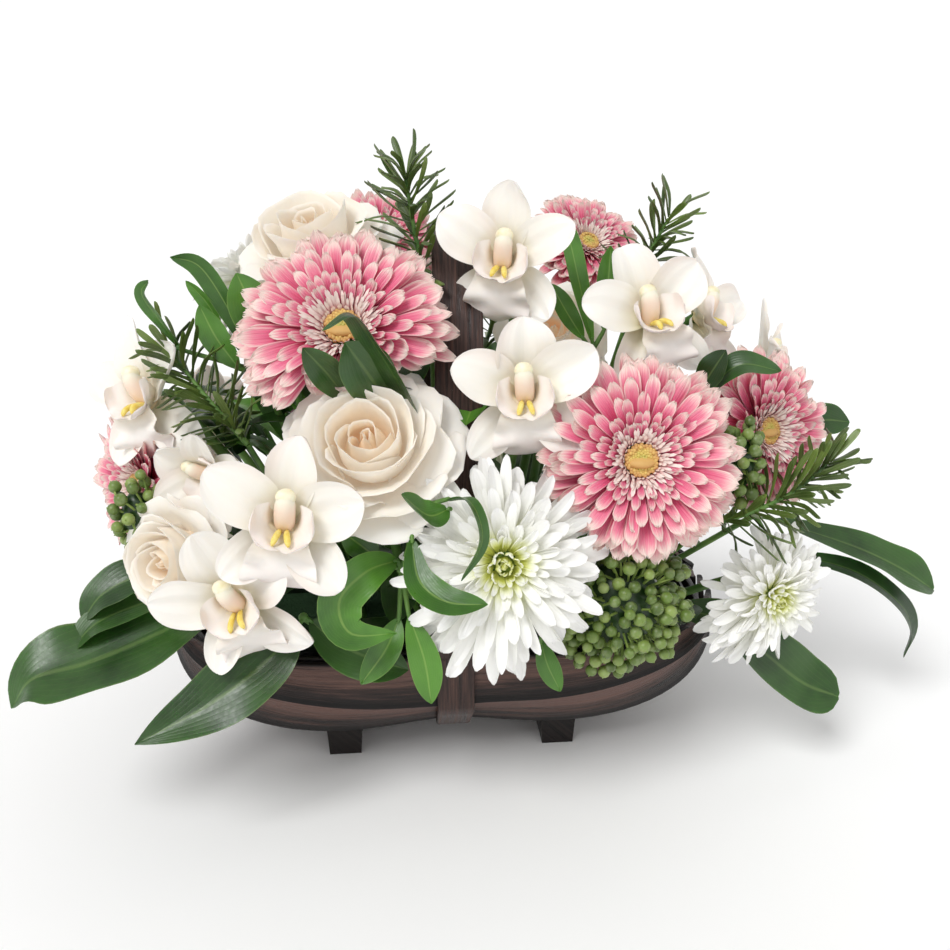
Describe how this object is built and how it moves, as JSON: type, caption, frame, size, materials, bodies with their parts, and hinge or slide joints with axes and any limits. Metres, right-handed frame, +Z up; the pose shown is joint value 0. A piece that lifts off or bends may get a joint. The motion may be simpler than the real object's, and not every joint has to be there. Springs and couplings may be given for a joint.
{
  "type": "flower basket arrangement",
  "caption": "Mixed cut-flower arrangement of daisies, orchids, roses, chrysanthemums, berries and herbs in foam in an oval lapped-wood trug with a hoop handle.",
  "frame": {"origin": "on the surface it stands on, under the middle of its bounding box", "axes": "+X to the right along the trug for someone facing its front, +Z up, and the front looks along -Y"},
  "size_m": [0.5232, 0.3106, 0.3584],
  "materials": {
    "board": "dark brown stained and lightly waxed split wood",
    "board_dark": "almost black brown stained wood",
    "liner": "thin dull dark green film",
    "foam": "wet open-celled green foam",
    "gerbera": "soft satin petals, pink at their bases and cream at their tips",
    "orchid": "waxy white petals with a faint blush",
    "rose": "soft cream petals with a peach heart",
    "mum": "soft white petals round a yellow-green centre",
    "berries": "firm satin green berries",
    "rosemary": "matte grey-green needles",
    "leafy": "semi-gloss dark green leaves with paler veins",
    "leafy_bright": "semi-gloss fresh green leaves"
  },
  "bodies": {
    "root": {"board_bottom": "board", "board_front_low": "board", "board_front_mid": "board", "board_front_top": "board", "board_back_low": "board", "board_back_mid": "board", "board_back_top": "board", "handle_hoop": "board", "rim_hoop": "board_dark", "foot_left": "board_dark", "foot_right": "board_dark", "liner": "liner", "foam": "foam", "gerbera_front": "gerbera", "gerbera_upper_left": "gerbera", "gerbera_right": "gerbera", "gerbera_left": "gerbera", "gerbera_top": "gerbera", "gerbera_top_right": "gerbera", "gerbera_back": "gerbera", "orchid_spray_left_front": "orchid", "orchid_spray_middle": "orchid", "orchid_spray_right": "orchid", "orchid_spray_left": "orchid", "orchid_back_right": "orchid", "orchid_spray_back": "orchid", "rose_front": "rose", "rose_left": "rose", "rose_top": "rose", "rose_behind": "rose", "rose_back": "rose", "mum_front": "mum", "mum_right": "mum", "mum_back_left": "mum", "mum_back": "mum", "berries_front": "berries", "berries_right": "berries", "berries_left": "berries", "rosemary_top": "rosemary", "rosemary_top_right": "rosemary", "rosemary_right": "rosemary", "rosemary_left": "rosemary", "rosemary_back": "rosemary", "leaves_left": "leafy", "leaf_front_left": "leafy", "leaves_right": "leafy", "leaf_right_broad": "leafy", "leaves_folded": "leafy", "leaves_upper_right": "leafy", "leaf_far_right": "leafy", "leaves_back_left": "leafy", "leaves_back_right": "leafy", "leaves_collar_front": "leafy", "leaves_collar_back": "leafy", "leaves_upper_left": "leafy_bright", "leaves_middle_right": "leafy_bright", "leaves_front": "leafy_bright", "leaf_front_arc": "leafy_bright", "leaves_mum": "leafy_bright"}
  },
  "joints": []
}
